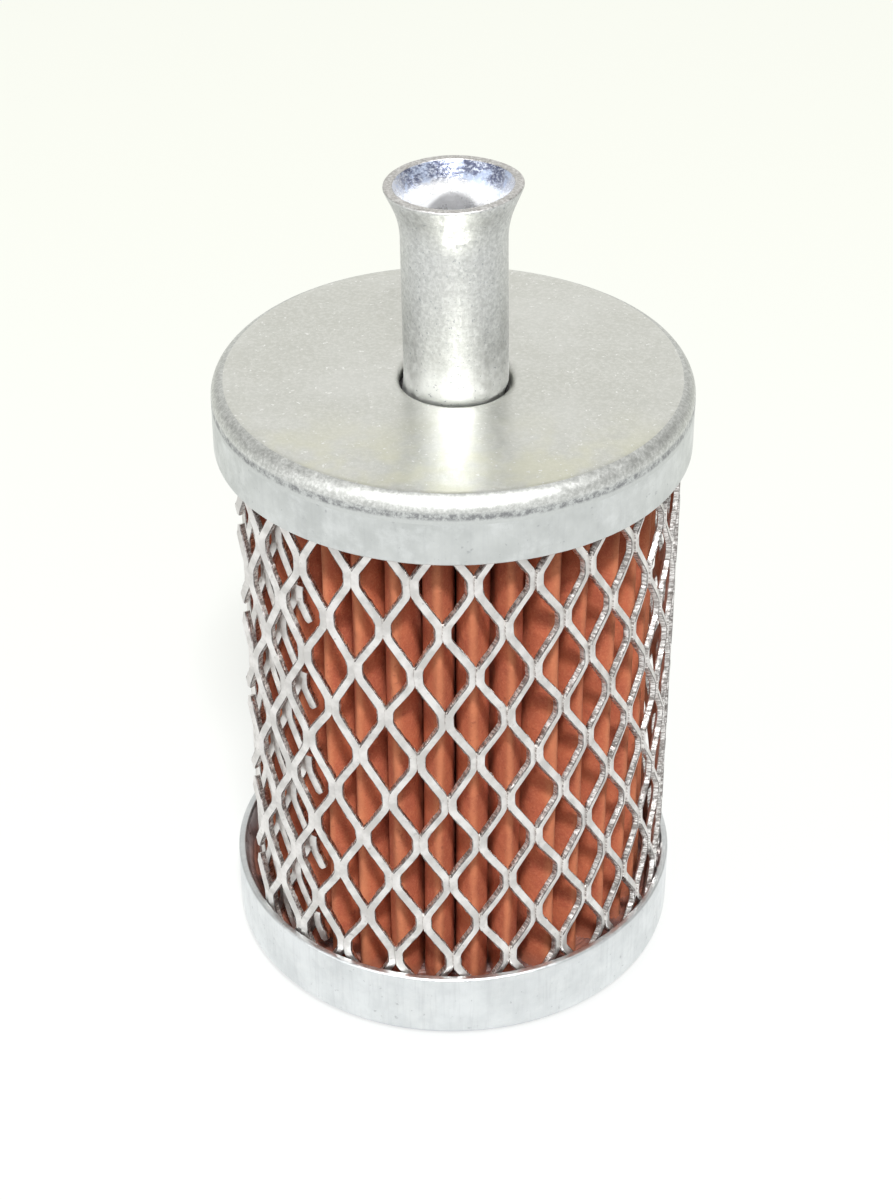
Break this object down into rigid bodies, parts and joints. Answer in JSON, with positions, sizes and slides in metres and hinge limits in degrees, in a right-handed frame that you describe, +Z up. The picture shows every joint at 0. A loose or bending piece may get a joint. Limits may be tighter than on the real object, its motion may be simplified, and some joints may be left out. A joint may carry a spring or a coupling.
{
  "type": "fuel filter",
  "caption": "Cylindrical suction-line fuel filter: pleated paper in a lapped expanded-metal sleeve between two drawn end caps, with one flared outlet tube.",
  "frame": {"origin": "centre of the bottom cap's base, on the plane the filter stands on", "axes": "+Z up along the outlet tube; -Y towards the viewer, with the sleeve's lap a little to the viewer's left (-X, -Y)"},
  "size_m": [0.0376, 0.0376, 0.0686],
  "materials": {
    "cap_metal_top": "satin tin plate, fine speckle",
    "cap_metal_bottom": "satin tin plate with faint drawing streaks",
    "tube_metal": "satin plated tube, bright inside the bell mouth",
    "mesh_metal": "galvanised, bright sheared edges",
    "core_metal": "plain zinc plate",
    "filter_paper": "matt resin-treated paper",
    "potting_resin": "clear glossy cast resin",
    "seal_rubber": "matt black"
  },
  "bodies": {
    "root": {"bottom_cap": "cap_metal_bottom", "top_cap": "cap_metal_top", "outlet_tube": "tube_metal", "tube_seal": "seal_rubber", "core_tube": "core_metal", "pleated_paper": "filter_paper", "seam_clip": "core_metal", "mesh_sleeve": "mesh_metal", "bottom_potting": "potting_resin", "top_potting": "potting_resin"}
  },
  "joints": []
}
